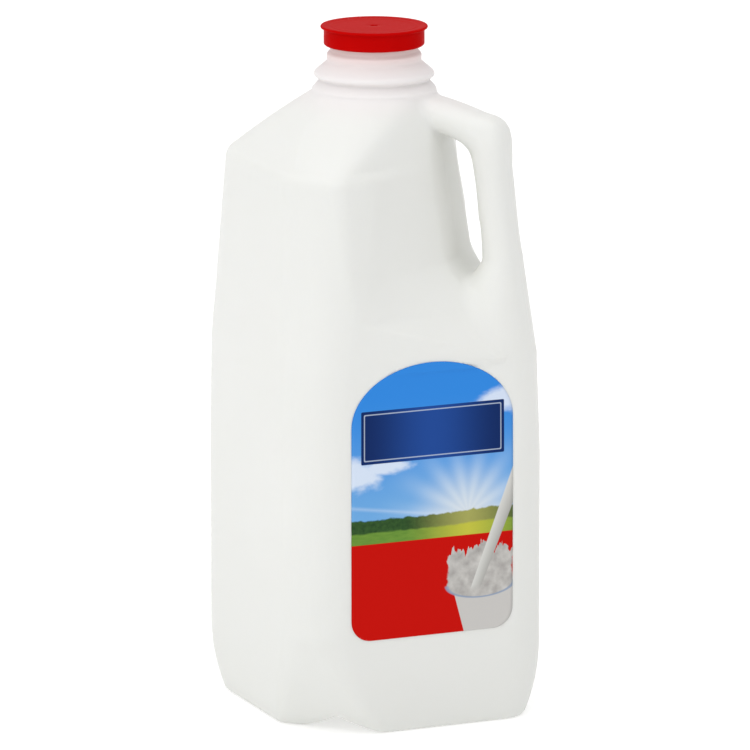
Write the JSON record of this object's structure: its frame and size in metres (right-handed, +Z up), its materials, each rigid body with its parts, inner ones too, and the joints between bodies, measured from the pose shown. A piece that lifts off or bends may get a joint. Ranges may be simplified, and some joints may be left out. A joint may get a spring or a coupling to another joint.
{
  "type": "plastic milk jug",
  "caption": "Full translucent white milk jug with a square body, a moulded handle over one corner, a push-fit cap and a printed label.",
  "frame": {"origin": "centre of the square base, on the surface that the jug stands on", "axes": "+Z up along the neck; +X towards the corner that carries the handle; the mould's parting plane is Y = 0, so the four flat sides face the diagonals"},
  "size_m": [0.1294, 0.1294, 0.2569],
  "materials": {
    "jug_plastic": "translucent natural blow-moulded polyethylene",
    "milk": "opaque white milk",
    "cap_plastic": "glossy red moulded polyethylene",
    "label_print": "printed satin film label"
  },
  "bodies": {
    "root": {"bottle": "jug_plastic", "milk": "milk", "cap": "cap_plastic", "label": "label_print"}
  },
  "joints": []
}
